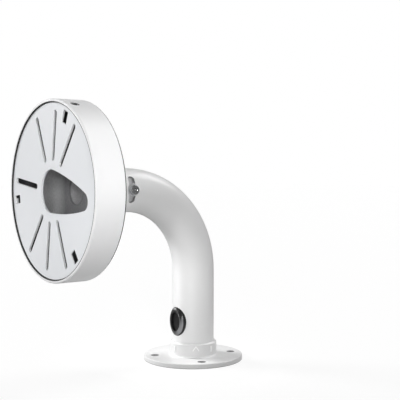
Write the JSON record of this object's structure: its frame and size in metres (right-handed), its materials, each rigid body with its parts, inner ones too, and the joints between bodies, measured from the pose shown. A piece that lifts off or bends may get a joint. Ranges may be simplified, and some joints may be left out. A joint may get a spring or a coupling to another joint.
{
  "type": "camera wall bracket",
  "caption": "Bent tube wall bracket with a screw-on wall flange, a plugged cable outlet and a round swivelling cap with a slotted plate for a turret camera.",
  "frame": {"origin": "centre of the wall flange's back face, on the wall plane", "axes": "+Z is the wall's outward normal, the arm bends towards -Y, and the cap's mouth faces -Y"},
  "size_m": [0.126, 0.16, 0.194],
  "materials": {
    "white_coat": "satin white powder coat on cast and drawn aluminium",
    "plate_coat": "smooth pale grey-white coat on pressed steel",
    "black_rubber": "moulded black rubber, slightly satin",
    "screw_steel": "bright stainless steel"
  },
  "bodies": {
    "arm": {"wall_flange": "white_coat", "arm_tube": "white_coat", "cable_plug": "black_rubber"},
    "head": {"camera_cap": "white_coat", "mounting_plate": "plate_coat", "rim_screw_1": "screw_steel", "clamp_screw": "screw_steel", "clamp_washer": "screw_steel"}
  },
  "joints": [
    {"name": "cap_swivel", "type": "hinge", "parent": "arm", "child": "head", "pos_m": [0, -0.095, 0.131], "axis": [0, -1, 0], "range_deg": [-26, 28]}
  ]
}
